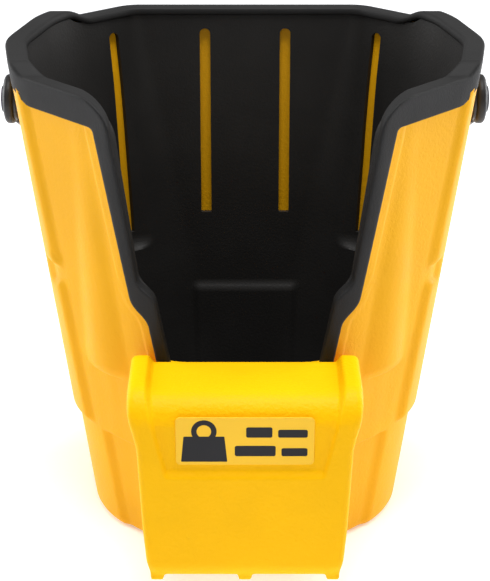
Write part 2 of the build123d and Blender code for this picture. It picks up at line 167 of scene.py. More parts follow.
def body_distance(x, y, z):
    """Signed distance to the front part of the shell's outer face, for y below zero."""
    x = np.abs(x)
    share = z / RIM_Z
    best = np.full(np.broadcast(x, y, z).shape, -1e9)
    front = [(radians(a), b + (r - b) * share, rb + (rr - rb) * share) for a, b, r, rb, rr in WALLS[3:]]
    for a, d, _ in front:
        best = np.maximum(best, x * cos(a) + y * sin(a) - d)
    for (a0, d0, radius), (a1, d1, _) in zip(front, front[1:]):
        det = cos(a0) * sin(a1) - cos(a1) * sin(a0)
        e0, e1 = d0 - radius, d1 - radius
        cx, cy = (e0 * sin(a1) - e1 * sin(a0)) / det, (cos(a0) * e1 - cos(a1) * e0) / det
        px, py = x - cx, y - cy
        inside = (px * sin(a0) - py * cos(a0) > 0) & (py * cos(a1) - px * sin(a1) > 0)
        best = np.where(inside, np.hypot(px, py) - radius, best)
    return best


class Wall:
    """Grid of points on the bucket form: rows are heights, columns go round from the back centre."""

    def __init__(self, heights, places):
        """places(z, x, y, s) gives the column positions along the half outline at height z."""
        xs, ys, angles = [], [], []
        for z in heights:
            x, y, a = half_outline(z)
            s = np.concatenate([[0.0], np.cumsum(np.hypot(np.diff(x), np.diff(y)))])
            at = places(z, x, y, s)
            xs.append(np.interp(at, s, x))
            ys.append(np.interp(at, s, y))
            angles.append(np.interp(at, s, a))
        right_x, right_y, right_a = np.array(xs), np.array(ys), np.array(angles)
        back = slice(-2, 0, -1)
        self.x = np.hstack([right_x, -right_x[:, back]])
        self.y = np.hstack([right_y, right_y[:, back]])
        angle = np.hstack([right_a, pi - right_a[:, back]])
        self.nx, self.ny = np.cos(angle), np.sin(angle)
        self.z = np.repeat(np.array(heights, float)[:, None], self.x.shape[1], 1)

    def points(self, offset):
        return np.stack([self.x + self.nx * offset, self.y + self.ny * offset, self.z], -1)


def rim_height(y):
    up = smooth((y - HUMP_FRONT_Y) / HUMP_RAMP + 0.5) * smooth((HUMP_BACK_Y - y) / HUMP_RAMP + 0.5)
    return RIM_Z + RIM_HUMP * up


def column_bulge(x, y, z, inset=0.0):
    """How far the corner columns stand out of the wall; inset lifts their feet."""
    total = 0.0
    for azimuth, foot, bulge, fade, radius in COLUMNS:
        a = radians(azimuth)
        across = y * cos(a) - np.abs(x) * sin(a)
        height = bulge * np.clip((fade - z) / (fade - foot), 0.0, 1.0)
        below = np.clip((foot + inset + COLUMN_FOOT_ROUND - z) / COLUMN_FOOT_ROUND, 0.0, 1.0)
        height = height * np.sqrt(1.0 - below ** 2)
        crown = height - across ** 2 / (2.0 * radius)
        near = np.abs(x) * cos(a) + y * sin(a) > COLUMN_OUT
        total = total + np.where(near, soft_max(crown, 0.0, COLUMN_BLEND), 0.0)
    return total


def shell_relief(x, y, z):
    """Outward relief of the shell's outer face."""
    side = rise(y, SIDE_PAD_Y[0], RELIEF_SOFT) * rise(-y, -SIDE_PAD_Y[1], RELIEF_SOFT)
    side = side * rise(z, SIDE_PAD_Z[0], RELIEF_SOFT) * rise(-z, -SIDE_PAD_Z[1], 1.0)
    notch_low, notch_high, depth = PAD_NOTCH
    notch = rise(z, notch_low + 1, RELIEF_SOFT) * rise(-z, -notch_high + 1, 3.0)
    notch = notch * rise(-y, -SIDE_PAD_Y[0] - depth, RELIEF_SOFT)
    pad = SIDE_PAD * side * (1.0 - PAD_NOTCH_SHARE * notch)
    step = FRONT_STEP * rise(-z, -FRONT_STEP_Z, 1.8) * rise(-y, -FRONT_STEP_Y, RELIEF_SOFT)
    strip_out = softened(TRIM, z, 3.0) + STRIP_GAP
    strip = STRIP_RISE * rise(-np.abs(x), -strip_out, 0.8)
    strip = strip * rise(-y, -STRIP_BACK_Y, 2.0) * rise(z, STRIP_FOOT_Z, 1.0)
    return pad - step + strip + column_bulge(x, y, z)


def liner_relief(x, y, z):
    """Outward relief of the liner's inner face: corner channels and the low step in the back wall."""
    step = BACK_STEP * rise(-z, -BACK_STEP_Z, 3.0) * (y > 0)
    step = step * rise(BACK_STEP_X - np.abs(x), 0.0, RELIEF_SOFT)
    return column_bulge(x, y, z, LINER_INSET) - step


# ---- meshes -------------------------------------------------------------------------------------
def mesh_object(name, points, faces, sharp=None):
    """A new mesh object from points in millimetres and faces; sharp is the crease angle in degrees."""
    mesh = bpy.data.meshes.new(name)
    mesh.from_pydata((np.asarray(points) * MM).tolist(), [], faces)
    mesh.validate()
    mesh.polygons.foreach_set("use_smooth", np.ones(len(mesh.polygons), bool))
    if sharp is not None:
        mesh.set_sharp_from_angle(angle=radians(sharp))
    obj = bpy.data.objects.new(name, mesh)
    bpy.context.scene.collection.objects.link(obj)
    return obj


def layered(outer, inner, keep):
    """Closed solid between two grids of the same layout; keep says which cells exist.

    The grids close round their columns, and a point at the middle closes their first rows."""
    rows, cols, _ = outer.shape
    points = np.concatenate([outer.reshape(-1, 3), inner.reshape(-1, 3)])
    base = rows * cols
    i, j = np.nonzero(keep)
    jn = (j + 1) % cols
    a, b, c, d = i * cols + j, i * cols + jn, (i + 1) * cols + jn, (i + 1) * cols + j
    faces = [np.stack([a, d, c, b], -1), np.stack([a, b, c, d], -1) + base]
    left, right = np.roll(keep, 1, 1), np.roll(keep, -1, 1)
    above = np.vstack([keep[1:], np.zeros((1, cols), bool)])
    below = np.vstack([np.ones((1, cols), bool), keep[:-1]])
    for gone, p, q in ((~above, d, c), (~below, b, a), (~left, a, d), (~right, c, b)):
        edge = gone[i, j]
        faces.append(np.stack([p[edge], p[edge] + base, q[edge] + base, q[edge]], -1))
    faces = np.concatenate(faces).tolist()
    points = np.concatenate([points, [outer[0].mean(0), inner[0].mean(0)]])
    outer_mid, inner_mid = len(points) - 2, len(points) - 1
    for k in range(cols):
        n = (k + 1) % cols
        faces.append([k, n, outer_mid])
        faces.append([base + n, base + k, inner_mid])
    used = np.unique(np.concatenate([np.ravel(f) for f in faces]))
    index = np.full(len(points), -1)
    index[used] = np.arange(len(used))
    return points[used], [[int(index[v]) for v in f] for f in faces]


def surface_nets(field, wrap=False):
    """Surface where a sampled field crosses zero; inside is negative. Points are in grid steps.

    With wrap, the field closes round its first axis."""
    if wrap:
        field = np.concatenate([field, field[:1]])
    inside = field < 0
    nx, ny, nz = [n - 1 for n in field.shape]
    corners = [np.array((a, b, c)) for a in (0, 1) for b in (0, 1) for c in (0, 1)]
    count = sum(inside[a:a + nx, b:b + ny, c:c + nz].astype(np.uint8) for a, b, c in corners)
    cells = np.argwhere((count > 0) & (count < len(corners)))
    number = np.full((nx, ny, nz), -1, np.int32)
    number[tuple(cells.T)] = np.arange(len(cells))
    total, hits = np.zeros((len(cells), 3)), np.zeros(len(cells))
    cell_edges = [(m, n) for k, m in enumerate(corners) for n in corners[k + 1:]
                  if np.abs(m - n).sum() == 1]
    for m, n in cell_edges:
        f0, f1 = field[tuple((cells + m).T)], field[tuple((cells + n).T)]
        cross = (f0 < 0) != (f1 < 0)
        t = np.where(cross, f0 / np.where(f0 == f1, 1.0, f0 - f1), 0.0)
        total += cross[:, None] * (m + t[:, None] * (n - m))
        hits += cross
    points = cells + total / hits[:, None]
    quads = []
    for axis in range(3):
        one, two = [k for k in range(3) if k != axis]
        low = [slice(0, n) for n in (nx, ny, nz)]
        high = list(low)
        high[axis] = slice(1, (nx, ny, nz)[axis] + 1)
        start, end = inside[tuple(low)], inside[tuple(high)]
        edges = np.argwhere(start != end)
        for k in (one, two):
            if not (wrap and k == 0):
                edges = edges[edges[:, k] > 0]
        flip = start[tuple(edges.T)]
        ring = []
        for d1, d2 in ((0, 0), (1, 0), (1, 1), (0, 1)):
            cell = edges.copy()
            cell[:, one] -= d1
            cell[:, two] -= d2
            if wrap:
                cell[:, 0] %= nx
            ring.append(number[tuple(cell.T)])
        quad = np.stack(ring, -1)
        if axis == 1:
            flip = ~flip
        quads.append(np.where(flip[:, None], quad, quad[:, ::-1]))
    return points, np.concatenate(quads).tolist()


def sculpt(name, low, high, step, form, place=np.asarray):
    """Mesh of a form given as a signed distance function over a box, put in its place by place()."""
    axes = [np.arange(a, b + step, step) for a, b in zip(low, high)]
    x, y, z = np.meshgrid(*axes, indexing="ij", sparse=True)
    points, quads = surface_nets(np.broadcast_to(form(x, y, z), np.broadcast(x, y, z).shape))
    return mesh_object(name, place(points * step + np.array(low)), quads)


# ---- materials ----------------------------------------------------------------------------------
def nodes_of(name):
    material = bpy.data.materials.new(name)
    material.use_nodes = True
    tree = material.node_tree
    return material, tree, tree.nodes["Principled BSDF"]


def noise(tree, coords, scale, detail=3.0, rough=0.55):
    node = tree.nodes.new("ShaderNodeTexNoise")
    node.inputs["Scale"].default_value = scale
    node.inputs["Detail"].default_value = detail
    node.inputs["Roughness"].default_value = rough
    tree.links.new(coords, node.inputs["Vector"])
    return node


def ramp(tree, source, stops):
    """Colour ramp between two stops, each a position and a colour."""
    node = tree.nodes.new("ShaderNodeValToRGB")
    for stop, (at, color) in zip(node.color_ramp.elements, stops):
        stop.position, stop.color = at, (*color, 1.0)
    tree.links.new(source, node.inputs["Fac"])
    return node


def moulded(name, color, rough=0.42, grain=1500.0, depth=0.00005, vary=0.05, specular=0.5, coat=0.0):
    """Injection-moulded plastic: spark-eroded grain, slight colour drift and uneven gloss."""
    material, tree, shader = nodes_of(name)
    coords = tree.nodes.new("ShaderNodeTexCoord").outputs["Object"]
    drift = noise(tree, coords, 26.0, 2.0)
    dark = tuple(c * (1.0 - vary) for c in color)
    light = tuple(min(1.0, c * (1.0 + vary)) for c in color)
    tint = ramp(tree, drift.outputs["Fac"], [(0.3, dark), (0.7, light)])
    tree.links.new(tint.outputs["Color"], shader.inputs["Base Color"])
    gloss = noise(tree, coords, 90.0, 4.0)
    uneven = tree.nodes.new("ShaderNodeMapRange")
    uneven.inputs["To Min"].default_value = rough - 0.05
    uneven.inputs["To Max"].default_value = rough + 0.07
    tree.links.new(gloss.outputs["Fac"], uneven.inputs["Value"])
    tree.links.new(uneven.outputs["Result"], shader.inputs["Roughness"])
    fine = noise(tree, coords, grain, 2.0, 0.6)
    bump = tree.nodes.new("ShaderNodeBump")
    bump.inputs["Strength"].default_value = 0.8
    bump.inputs["Distance"].default_value = depth
    tree.links.new(fine.outputs["Fac"], bump.inputs["Height"])
    tree.links.new(bump.outputs["Normal"], shader.inputs["Normal"])
    shader.inputs["Specular IOR Level"].default_value = specular
    shader.inputs["Coat Weight"].default_value = coat
    shader.inputs["Coat Roughness"].default_value = 0.25
    return material


def metal(name, color, rough):
    """Metal with fine cloudy wear in its colour and surface."""
    material, tree, shader = nodes_of(name)
    coords = tree.nodes.new("ShaderNodeTexCoord").outputs["Object"]
    worn = noise(tree, coords, 700.0, 4.0)
    tint = ramp(tree, worn.outputs["Fac"], [(0.35, tuple(0.8 * c for c in color)), (0.65, color)])
    tree.links.new(tint.outputs["Color"], shader.inputs["Base Color"])
    shader.inputs["Metallic"].default_value = 1.0
    shader.inputs["Roughness"].default_value = rough
    bump = tree.nodes.new("ShaderNodeBump")
    bump.inputs["Distance"].default_value = 0.00002
    tree.links.new(worn.outputs["Fac"], bump.inputs["Height"])
    tree.links.new(bump.outputs["Normal"], shader.inputs["Normal"])
    return material


YELLOW = moulded("shell_plastic", (0.87, 0.425, 0.005), 0.46, 560.0, 0.00025, 0.03, 0.12)
HOOK_YELLOW = moulded("hook_plastic", (0.96, 0.51, 0.001), 0.46, 520.0, 0.0004, 0.03, 0.08)
BLACK = moulded("liner_plastic", (0.0165, 0.0155, 0.0145), 0.55, 800.0, 0.00015, 0.15, 0.26)
CHARCOAL = moulded("guard_plastic", (0.0145, 0.0143, 0.0143), 0.6, 900.0, 0.00014, 0.12, 0.18)
HANDLE_BLACK = moulded("handle_plastic", (0.016, 0.0165, 0.018), 0.45, vary=0.12, specular=0.35)
RUBBER = moulded("grip_rubber", (0.016, 0.016, 0.017), 0.7, grain=900.0, depth=0.0001, vary=0.15)
SMOOTH_BLACK = moulded("smooth_plastic", (0.02, 0.02, 0.021), 0.35, grain=2500.0, depth=0.00002, vary=0.1)
LABEL_FILM = moulded("label_film", (0.95, 0.56, 0.022), 0.35, 2600.0, 0.00001, 0.02, 0.2, coat=0.1)
LABEL_INK = moulded("label_ink", (0.016, 0.016, 0.018), 0.5, 2600.0, 0.00001, 0.1, 0.2)
ZINC = metal("rivet_zinc", (0.62, 0.62, 0.64), 0.32)
DARK_STEEL = metal("pin_steel", (0.05, 0.05, 0.055), 0.4)


def dress(obj, material):
    obj.data.materials.clear()
    obj.data.materials.append(material)
    return obj


# ---- shell and liner ----------------------------------------------------------------------------
def front_s(w, x, s):
    """Position along the half outline where the front wall is w from the middle plane."""
    widest = int(np.argmax(x))
    return np.interp(w, x[widest:][::-1], s[widest:][::-1])


def opening_half(z, grow):
    """Half-width of the opening at height z, grown sideways, with the corner into the rim rounded."""
    w = softened(OPENING, z, OPENING_BLEND) + grow
    r = OPENING_ROUND + grow
    up = np.clip(z - (RIM_Z - grow - r), 0.0, r)
    return w + r - np.sqrt(r * r - up * up)


def spread(keys, counts):
    """Column positions between key positions, counts[i] steps in each stretch."""
    parts = [np.linspace(a, b, n, endpoint=False) for a, b, n in zip(keys, keys[1:], counts)]
    return np.concatenate(parts + [[keys[-1]]])


# columns in each stretch between the key lines, from the back centre to the front centre
SHELL_COLUMNS = (120, 30, 4, 12)
LINER_COLUMNS = (10, 4, 20, 4, 84, 24, 4, 10)
# the line of the notch's end stays NOTCH_CLEAR outside the opening's edge, and the next line
# outside it is EVEN_FROM away
NOTCH_CLEAR, EVEN_FROM = 2.0, 16.0
# half-width that a slot's round top narrows to
NARROWEST_SLOT = 0.15


def front_lines(z, x, s):
    """Places of the lines that follow the opening: beside it, the notch's end, and its own edge."""
    edge = opening_half(max(z, CREST_Z), GUARD_CAP)
    notch = max(CREST_NOTCH, edge + NOTCH_CLEAR)
    return [front_s(w, x, s) for w in (notch + EVEN_FROM, notch, edge)]


def shell_places(z, x, y, s):
    return spread([0.0, *front_lines(z, x, s), s[-1]], SHELL_COLUMNS)


def slot_half(z, span):
    """Half-width of a round-topped slot at height z; full width outside the slot's span."""
    up = z - (span[1] - SLOT_R)
    if up <= 0 or z > span[1]:
        return SLOT_R
    return max(NARROWEST_SLOT, (SLOT_R ** 2 - min(up, SLOT_R) ** 2) ** 0.5)


def liner_places(z, x, y, s):
    mid = slot_half(z, MID_SLOT_Z)
    a = radians(CORNER_SLOT_AZ)
    widest = int(np.argmax(x))
    across = (x * sin(a) - y * cos(a))[:widest]
    corner = slot_half(z, CORNER_SLOT_Z)
    c0, c1 = [np.interp(v, across, s[:widest]) for v in (-corner, corner)]
    keys = [0.0, MID_SLOT_X - mid, MID_SLOT_X + mid, c0, c1, *front_lines(z, x, s), s[-1]]
    return spread(keys, LINER_COLUMNS)


def heights(*fixed, step=2.0):
    """Rising heights that include the fixed ones, no further apart than step."""
    rows = [fixed[0]]
    for a, b in zip(fixed, fixed[1:]):
        n = max(1, int(np.ceil((b - a) / step)))
        rows += list(np.linspace(a, b, n + 1)[1:])
    return rows


def stretch_rim(points, wall):
    """Lift the rows above STRETCH_Z so that the top row follows the rim line."""
    share = np.clip((wall.z - STRETCH_Z) / (RIM_Z - GUARD_CAP - STRETCH_Z), 0.0, None)
    lift = (rim_height(wall.y) - RIM_Z) * share
    out = points.copy()
    for axis, grid in enumerate((wall.x, wall.y)):
        lean = (grid[-1] - grid[0]) / (wall.z[-1] - wall.z[0])
        out[..., axis] += lean * lift
    out[..., 2] += lift
    return out


# a floor's rows: how far out they lie, as shares of its flat part, and the turns of its rounded
# edge in degrees
FLOOR_SHARES, FLOOR_REACH = (0.12, 0.35, 0.6, 0.8, 0.92), 0.94
FLOOR_TURNS = (90.0, 72.0, 54.0, 36.0, 18.0)


def floor_rows(ring, radius, z, normal):
    """Rows that turn a wall ring in over a rounded edge to the middle of a floor at height z."""
    rows = []
    for share in FLOOR_SHARES:
        rows.append(np.concatenate([ring[:, :2] * share * FLOOR_REACH, np.full((len(ring), 1), z)], -1))
    normal = normal / np.linalg.norm(normal, axis=-1, keepdims=True)
    for turn in FLOOR_TURNS:
        t = radians(turn)
        row = ring.copy()
        row[:, :2] -= normal * (radius * (1.0 - cos(t)))
        row[:, 2] = z + radius * (1.0 - sin(t))
        rows.append(row)
    return rows


# heights between which the shell's rows are spread, and where they are closer for its relief
SHELL_STOPS = (53.0, 57.0, 84.0, 100.0, 127.0, 143.0, 214.0, 219.0)
COLUMN_FOOT_ROWS = np.arange(84.0, 98.0, 1.0)
STEP_ROWS = np.arange(52.5, 58.0, 0.5)
# the same for the liner, with the rows of the slots' round tops
LINER_STOPS = (76.0, 83.0, MID_SLOT_Z[0], 219.0)
CHANNEL_FOOT_ROWS = np.arange(100.0, 115.0, 1.0)
SLOT_TURNS = np.arange(0, 90, 12)
# one more row this far above the slots
SLOT_CLEAR = 0.5


def build_shell():
    zs = heights(BASE_ROUND, *SHELL_STOPS, RIM_Z - GUARD_CAP)
    zs = sorted(set(zs + [NOTCH_Z, CREST_Z] + list(COLUMN_FOOT_ROWS) + list(STEP_ROWS)))
    wall = Wall(zs, shell_places)
    outer = wall.points(shell_relief(wall.x, wall.y, wall.z))
    inner = wall.points(column_bulge(wall.x, wall.y, wall.z, SHELL_INSET) - SHELL_T)
    normal = np.stack([wall.nx[0], wall.ny[0]], -1)
    outer_rows = floor_rows(outer[0], BASE_ROUND, 0.0, normal)
    inner_rows = floor_rows(inner[0], SHELL_FLOOR_ROUND, SHELL_T, normal)
    outer = np.concatenate([outer_rows, stretch_rim(outer, wall)])
    inner = np.concatenate([inner_rows, stretch_rim(inner, wall)])
    keep = np.ones((len(outer) - 1, outer.shape[1]), bool)
    first, half = len(outer_rows), sum(SHELL_COLUMNS)
    for i, z in enumerate(zs[:-1]):
        edge = half - sum(SHELL_COLUMNS[-1:] if z >= CREST_Z else SHELL_COLUMNS[-2:])
        if z >= NOTCH_Z:
            keep[first + i, edge:2 * half - edge] = False
    points, faces = layered(outer, inner, keep)
    shell = dress(mesh_object("shell_body", points, faces, 50.0), YELLOW)
    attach(shell, "bucket")
    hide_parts("outer_shell")


def build_liner():
    floor_z = -LINER_IN
    zs = heights(floor_z + FLOOR_ROUND, *LINER_STOPS, RIM_Z - GUARD_CAP)
    zs += list(MID_SLOT_Z[1] - SLOT_R * (1.0 - np.sin(np.radians(SLOT_TURNS))))
    zs += [*MID_SLOT_Z, *CORNER_SLOT_Z, NOTCH_Z, CREST_Z, MID_SLOT_Z[1] + SLOT_CLEAR]
    zs = sorted(set(np.round(zs + list(CHANNEL_FOOT_ROWS), 3)))
    wall = Wall(zs, liner_places)
    inner = wall.points(liner_relief(wall.x, wall.y, wall.z) + LINER_IN)
    outer = wall.points(column_bulge(wall.x, wall.y, wall.z, LINER_BACK_INSET) + LINER_OUT)
    normal = np.stack([wall.nx[0], wall.ny[0]], -1)
    inner_rows = floor_rows(inner[0], FLOOR_ROUND, floor_z, normal)
    outer_rows = floor_rows(outer[0], FLOOR_ROUND, -LINER_OUT, normal)
    inner = np.concatenate([inner_rows, stretch_rim(inner, wall)])
    outer = np.concatenate([outer_rows, stretch_rim(outer, wall)])
    keep = np.ones((len(outer) - 1, outer.shape[1]), bool)
    first, half = len(outer_rows), sum(LINER_COLUMNS)
    starts = np.cumsum((0,) + LINER_COLUMNS)

    def cut(low, high, z_low, z_high):
        """Drop the cells between two columns and two heights, on both sides."""
        for i, z in enumerate(zs[:-1]):
            if z_low - 1e-6 <= z and zs[i + 1] <= z_high + 1e-6:
                keep[first + i, low:high] = False
                keep[first + i, 2 * half - high:2 * half - low] = False

    cut(starts[1], starts[2], *MID_SLOT_Z)
    cut(starts[3], starts[4], *CORNER_SLOT_Z)
    cut(starts[6], starts[8], NOTCH_Z, CREST_Z)
    cut(starts[7], starts[8], CREST_Z, RIM_Z)
    points, faces = layered(outer, inner, keep)
    liner = dress(mesh_object("liner_body", points, faces, 40.0), BLACK)
    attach(liner, "bucket")
    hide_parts("inner_liner")


# ---- rim guard ----------------------------------------------------------------------------------
HALF_WAY_ROUND = 300.0
# a distance greater than any in these forms
FAR = 60.0
# how far the guard's edges are rounded: on top, where its bands end, at its feet, and where two
# bands meet
GUARD_ROUND, BAND_ROUND, GUARD_FOOT_ROUND, BAND_BLEND = 1.6, 0.9, 0.6, 2.0
# further in than this the guard is a lip, not a band; its pocket clears the walls' edge by this much
LIP_DEPTH, POCKET_CLEAR = -3.0, 0.5


def build_guard():
    step = 0.8
    z_low, z_high = CREST_Z - 2 * step, RIM_Z + RIM_HUMP + 2 * step
    rows = np.arange(z_low, z_high + step, step)
    half = int(HALF_WAY_ROUND / step)
    wall = Wall(rows, lambda z, x, y, s: np.linspace(0.0, s[-1], half + 1))
    depth_step = step * 0.7
    depths = np.arange(GUARD_IN - 2 * depth_step, GUARD_HUMP_OUT + 2.5 * depth_step, depth_step)
    h = depths[None, None, :]
    z = wall.z.T[:, :, None]
    x, y = [a.T[:, :, None] + n.T[:, :, None] * h for a, n in ((wall.x, wall.nx), (wall.y, wall.ny))]
    rim = rim_height(y)
    hump = (rim - RIM_Z) / RIM_HUMP
    front = y < OPENING_FRONT_Y
    below_rim = rim - z
    beside = np.where(front, np.abs(x) - softened(OPENING, z, OPENING_BLEND), FAR)
    r = OPENING_ROUND
    corner = r - np.hypot(np.maximum(r - beside, 0.0), np.maximum(r - below_rim, 0.0))
    edge = np.where((beside < r) & (below_rim < r), corner, np.minimum(beside, below_rim))
    trim = np.where(front, np.abs(x) - softened(TRIM, z, OPENING_BLEND), FAR)
    band = soft_min(below_rim - APRON, trim, BAND_BLEND)
    outside = h - (GUARD_OUT + (GUARD_HUMP_OUT - GUARD_OUT) * hump)
    form = soft_max(-edge, outside, GUARD_ROUND)
    form = soft_max(form, GUARD_IN - h, GUARD_ROUND)
    form = soft_max(form, np.where(h > LIP_DEPTH, band, edge - GUARD_LIP), BAND_ROUND)
    form = soft_max(form, CREST_Z - z, GUARD_FOOT_ROUND)
    pocket = np.maximum(np.maximum(h, LINER_IN - h) + POCKET_CLEAR, GUARD_CAP + POCKET_CLEAR - edge)
    form = np.maximum(form, -pocket)
    points, quads = surface_nets(form.astype(np.float32), wrap=True)
    u, v, w = points.T
    cols = wall.x.shape[1]
    u0 = np.floor(u).astype(int)
    v0 = np.clip(np.floor(v).astype(int), 0, len(rows) - 2)
    fu, fv = u - u0, v - v0
    offset = depths[0] + w * depth_step

    def pick(table):
        """Values of a wall table at the fractional grid places u, v."""
        a, b = table[v0, u0 % cols], table[v0, (u0 + 1) % cols]
        c, d = table[v0 + 1, u0 % cols], table[v0 + 1, (u0 + 1) % cols]
        return (a * (1 - fu) + b * fu) * (1 - fv) + (c * (1 - fu) + d * fu) * fv

    place = np.stack([pick(wall.x) + pick(wall.nx) * offset,
                      pick(wall.y) + pick(wall.ny) * offset, z_low + v * step], -1)
    guard = dress(mesh_object("guard_body", place, quads), CHARCOAL)
    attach(guard, "bucket")
    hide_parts("rim_guard")


# ---- front hook ---------------------------------------------------------------------------------
HOOK_LOW, HOOK_HIGH = [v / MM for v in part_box("front_hook")]
LEG_Y = HOOK_LOW.y
HOOK_TOP = HOOK_HIGH.z
HOOK_RECESS, HOOK_T = 2.6, 2.4
STRAP_TOP, STRAP_BACK_Y = HOOK_TOP - 3.5, -83.3
# half-widths of the hook and of the recess in its face, by height
HOOK_HALF = [(19.0, 41.2), (22.0, 42.2), (27.4, 44.6), (46.0, 46.1), (88.0, 48.0), (104.0, 51.8),
             (116.0, 52.2)]
RECESS_HALF = [(60.0, 35.2), (76.0, 35.2), (97.0, 40.0), (116.0, 43.6)]
RECESS_FOOT_Z, RECESS_SIDE_SOFT, RECESS_FOOT_SOFT = 75.5, 2.4, 4.0
# radii over the top: the ribs, the recess between them, and the inside
RIB_BEND, STRAP_BEND, INNER_BEND = 15.0, 13.2, 10.0
HOOK_SIDE_ROUND, HOOK_INNER_ROUND, HOOK_FOOT_ROUND, STRAP_BACK_ROUND = 4.0, 1.2, 1.4, 2.0
FOOT_CURL, FOOT_CURL_H = 3.0, 8.0
LEG_FOOT_Z, TAB_DROP = 22.0, 3.0
TAB_X, TAB_W, TAB_HALF_T, TAB_HALF_H = 40.0, 6.0, 2.0, 8.5
TAB_IN, TAB_ROUND, TAB_BLEND = 0.5, 2.0, 1.4
# the two flanges that straddle the front wall; FLANGE_BACK and FLANGE_IN bound the inner one
FLANGE_HALF, FLANGE_FOOT_Z, FLANGE_T = 38.0, 68.0, 2.5
FLANGE_BACK, FLANGE_IN, FLANGE_ROUND = -5.85, -9.5, 1.5
# play between the hook and the edges of the wall
FIT, FIT_ABOVE = 0.3, 0.2


def corner_form(y, z, depth, top_z, radius):
    """Distance to a face that runs level at top_z, then turns down and drops along the leg."""
    return quarter_round(LEG_Y + depth - y, z - top_z, radius)


def hook_form(x, y, z):
    ax = np.abs(x)
    sunk = rise(softened(RECESS_HALF, z, 2.0) - ax, 0.0, RECESS_SIDE_SOFT)
    sunk = sunk * rise(z, RECESS_FOOT_Z, RECESS_FOOT_SOFT)
    curl = FOOT_CURL * np.clip((LEG_FOOT_Z + FOOT_CURL_H - z) / FOOT_CURL_H, 0.0, 1.3) ** 2
    leg_y = y - curl
    ribs = corner_form(leg_y, z, 0.0, HOOK_TOP, RIB_BEND)
    floor = corner_form(leg_y, z, HOOK_RECESS, STRAP_TOP, STRAP_BEND)
    outer = ribs + (floor - ribs) * sunk
    inner = corner_form(leg_y, z, HOOK_RECESS + HOOK_T, CREST_Z - HOOK_T, INNER_BEND)
    sides = ax - softened(HOOK_HALF, z, 3.0)
    strap = soft_max(outer, sides, HOOK_SIDE_ROUND)
    strap = soft_max(strap, -inner, HOOK_INNER_ROUND)
    strap = soft_max(strap, LEG_FOOT_Z - z, HOOK_FOOT_ROUND)
    above = z - CREST_Z - FIT_ABOVE
    strap = soft_max(strap, np.minimum(y - STRAP_BACK_Y, above), STRAP_BACK_ROUND)
    # the strap passes over the front wall only inside its notch
    wall = body_distance(x, y, z)
    notch = np.maximum(np.maximum(NOTCH_Z + FIT - z, ax - CREST_NOTCH + FIT), FLANGE_IN - wall)
    strap = soft_max(strap, np.minimum(FIT - wall, np.maximum(notch, above)), 0.9)
    reach = np.maximum(ax - FLANGE_HALF, np.maximum(FLANGE_FOOT_Z - z, z - CREST_Z + 1.0))
    front_plate = np.maximum(wall - FLANGE_T, 0.05 - wall)
    back_plate = np.maximum(wall - FLANGE_BACK, FLANGE_IN - wall)
    flanges = soft_max(np.minimum(front_plate, back_plate), reach, FLANGE_ROUND)
    tabs = FAR
    tab_y, tab_z = LEG_Y + HOOK_RECESS + HOOK_T - TAB_IN, LEG_FOOT_Z - TAB_DROP + TAB_HALF_H
    for centre in (-TAB_X, 0.0, TAB_X):
        tab = np.maximum(np.abs(x - centre) - TAB_W / 2, np.abs(y - tab_y) - TAB_HALF_T)
        tab = soft_max(tab, np.abs(z - tab_z) - TAB_HALF_H, TAB_ROUND)
        tabs = np.minimum(tabs, tab)
    form = soft_min(strap, flanges, 0.8)
    return soft_min(form, tabs, TAB_BLEND)


# half-width and back of the box that holds the form, and its clearance on the other sides
HOOK_BOX_X, HOOK_BOX_BACK_Y, HOOK_BOX_CLEAR = 54.5, -66.0, 2.0


def build_hook():
    step = 0.7
    low = (-HOOK_BOX_X, LEG_Y - HOOK_BOX_CLEAR, LEG_FOOT_Z - TAB_DROP - HOOK_BOX_CLEAR)
    high = (HOOK_BOX_X, HOOK_BOX_BACK_Y, HOOK_TOP + HOOK_BOX_CLEAR)
    hook = dress(sculpt("hook_body", low, high, step, hook_form), HOOK_YELLOW)
    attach(hook, "bucket")
    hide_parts("front_hook")


# ---- label --------------------------------------------------------------------------------------
LABEL_LOW, LABEL_HIGH = [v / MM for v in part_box("load_label")]
LABEL_FACE = LABEL_LOW.y + 0.75
LABEL_MID_Z = (LABEL_LOW.z + LABEL_HIGH.z) / 2
LABEL_ROUND, LABEL_BEVEL = 2.0, 0.12
# print stands this far out of the film, and the ring a little further so that no faces coincide
INK_RISE, INK_T, INK_BEVEL, RING_RISE = 0.04, 0.05, 0.02, 0.02
# weight symbol: a trapezoid block with a ring handle; heights are from the label's middle
WEIGHT_X, WEIGHT_HALF, WEIGHT_TAPER, WEIGHT_Z, WEIGHT_ROUND = -18.0, 10.2, 0.88, (-10.2, 2.4), 0.4
RING_OUT, RING_IN, RING_Z, RING_STEPS = 5.6, 3.2, 4.9, 48
# plain bars where a rating would be printed: x from, x to, z from, z to
BARS = [(0.5, 12.0, 1.9, 7.0), (14.5, 27.5, 1.9, 5.8), (-4.5, 13.5, -7.4, -2.2), (16.0, 27.5, -7.4, -3.4)]
BAR_ROUND = 0.9


def rounded_outline(points, steps=6):
    """Outline through (x, z, radius) corners with round corners, as a list of points."""
    out = []
    for i, (x, z, r) in enumerate(points):
        (x0, z0, _), (x1, z1, _) = points[i - 1], points[(i + 1) % len(points)]
        u = Vector((x0 - x, z0 - z)).normalized()
        v = Vector((x1 - x, z1 - z)).normalized()
        half = u.angle(v) / 2
        reach = r / tan(half)
        centre = Vector((x, z)) + (u + v).normalized() * (r / sin(half))
        start, end = Vector((x, z)) + u * reach - centre, Vector((x, z)) + v * reach - centre
        turn = start.angle_signed(end)
        for k in range(steps + 1):
            t = -turn * k / steps
            out.append((centre.x + start.x * cos(t) - start.y * sin(t),
                        centre.y + start.x * sin(t) + start.y * cos(t)))
    return out


